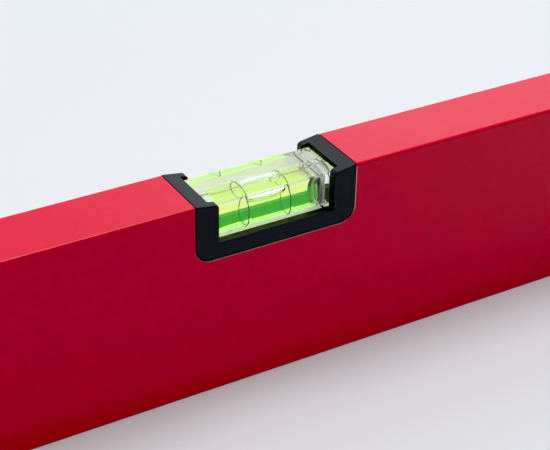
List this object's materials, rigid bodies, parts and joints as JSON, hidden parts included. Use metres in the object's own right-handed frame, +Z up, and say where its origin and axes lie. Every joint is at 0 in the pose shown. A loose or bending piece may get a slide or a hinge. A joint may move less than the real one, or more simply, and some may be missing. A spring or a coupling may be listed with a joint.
{
  "type": "spirit level",
  "caption": "Box-section spirit level with a block vial let into its top edge, a plumb vial near one end and capped ends.",
  "frame": {"origin": "middle of the measuring base, on the base plane", "axes": "+X along the level towards the plumb vial's end, +Y from the front face to the back face, +Z up"},
  "size_m": [0.4, 0.02, 0.06],
  "materials": {
    "red_powder_coat": "red powder coat, fine orange peel",
    "black_plastic": "moulded, fine satin grain",
    "white_bedding": "cast, matt",
    "clear_acrylic": "polished",
    "vial_fluid": "clear yellow-green liquid",
    "bubble_air": "air",
    "ring_ink": "marking colour",
    "clear_sealant": "clear sealing ring",
    "grey_rubber": "moulded, matt"
  },
  "bodies": {
    "level": {"end_buffer_left": "grey_rubber", "end_buffer_right": "grey_rubber", "end_cap_left": "black_plastic", "end_cap_right": "black_plastic", "plumb_bed": "white_bedding", "plumb_block": "clear_acrylic", "plumb_fluid": "vial_fluid", "plumb_housing_front": "black_plastic", "plumb_housing_rear": "black_plastic", "plumb_plug": "clear_acrylic", "plumb_plug_seal": "clear_sealant", "plumb_ring_lower": "ring_ink", "plumb_ring_upper": "ring_ink", "profile": "red_powder_coat", "vial_bed": "white_bedding", "vial_block": "clear_acrylic", "vial_fluid": "vial_fluid", "vial_housing": "black_plastic", "vial_plug": "clear_acrylic", "vial_plug_seal": "clear_sealant", "vial_ring_left": "ring_ink", "vial_ring_right": "ring_ink"},
    "lying_bubble": {"vial_bubble": "bubble_air"},
    "standing_bubble": {"plumb_bubble": "bubble_air"}
  },
  "joints": [
    {"name": "vial_bubble_slide", "type": "slide", "parent": "level", "child": "lying_bubble", "axis": [1, 0, 0], "range_m": [-0.009, 0.0085], "deforming": ["vial_fluid"]},
    {"name": "plumb_bubble_slide", "type": "slide", "parent": "level", "child": "standing_bubble", "axis": [0, 0, 1], "range_m": [-0.0278, 0], "stiffness_N_per_m": 1, "springref_m": 0.006, "deforming": ["plumb_fluid"]}
  ]
}
